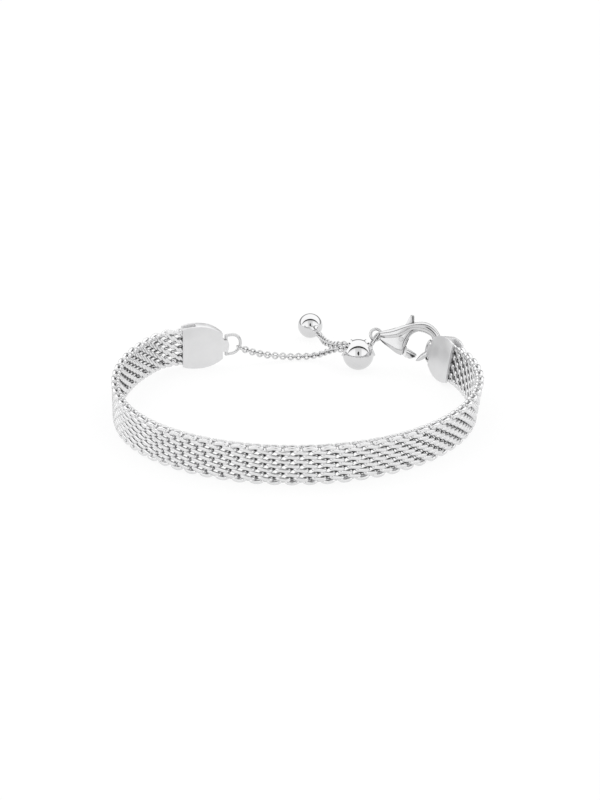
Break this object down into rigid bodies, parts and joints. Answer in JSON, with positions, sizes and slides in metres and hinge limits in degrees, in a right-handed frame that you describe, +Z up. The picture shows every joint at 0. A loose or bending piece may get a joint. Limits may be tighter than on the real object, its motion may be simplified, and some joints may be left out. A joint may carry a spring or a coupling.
{
  "type": "chain bracelet",
  "caption": "Woven wire mesh bracelet with folded end caps, a fine cable chain through a hollow slider ball, an end ball and a lobster clasp with a sprung lever.",
  "frame": {"origin": "centre of the bounding box in plan, at the level of the lower edge that it stands on", "axes": "+Z up, +X to the right along the closure, +Y from the front of the band to the closure and the free strand at the back"},
  "size_m": [0.064, 0.0778, 0.0097],
  "materials": {
    "mesh": "polished silver wire, woven",
    "plate": "polished silver plate",
    "wire": "polished silver wire",
    "links": "polished silver links",
    "ball": "mirror polished silver",
    "clasp": "polished silver"
  },
  "bodies": {
    "bracelet": {"mesh_band": "mesh", "end_cap_left": "plate", "end_cap_right": "plate", "d_ring_left": "wire", "d_ring_right": "wire", "chain": "links", "slider_ball": "ball", "end_ball": "ball", "jump_ring": "wire", "clasp_body": "clasp"},
    "lever": {"clasp_lever": "clasp"}
  },
  "joints": [
    {"name": "lever_hinge", "type": "hinge", "parent": "bracelet", "child": "lever", "pos_m": [0.01877, 0.01975, 0.00538], "axis": [-0.1736, -0.9254, 0.3368], "range_deg": [0, 25], "stiffness_Nm_per_rad": 0.002, "springref_deg": -17.19}
  ]
}
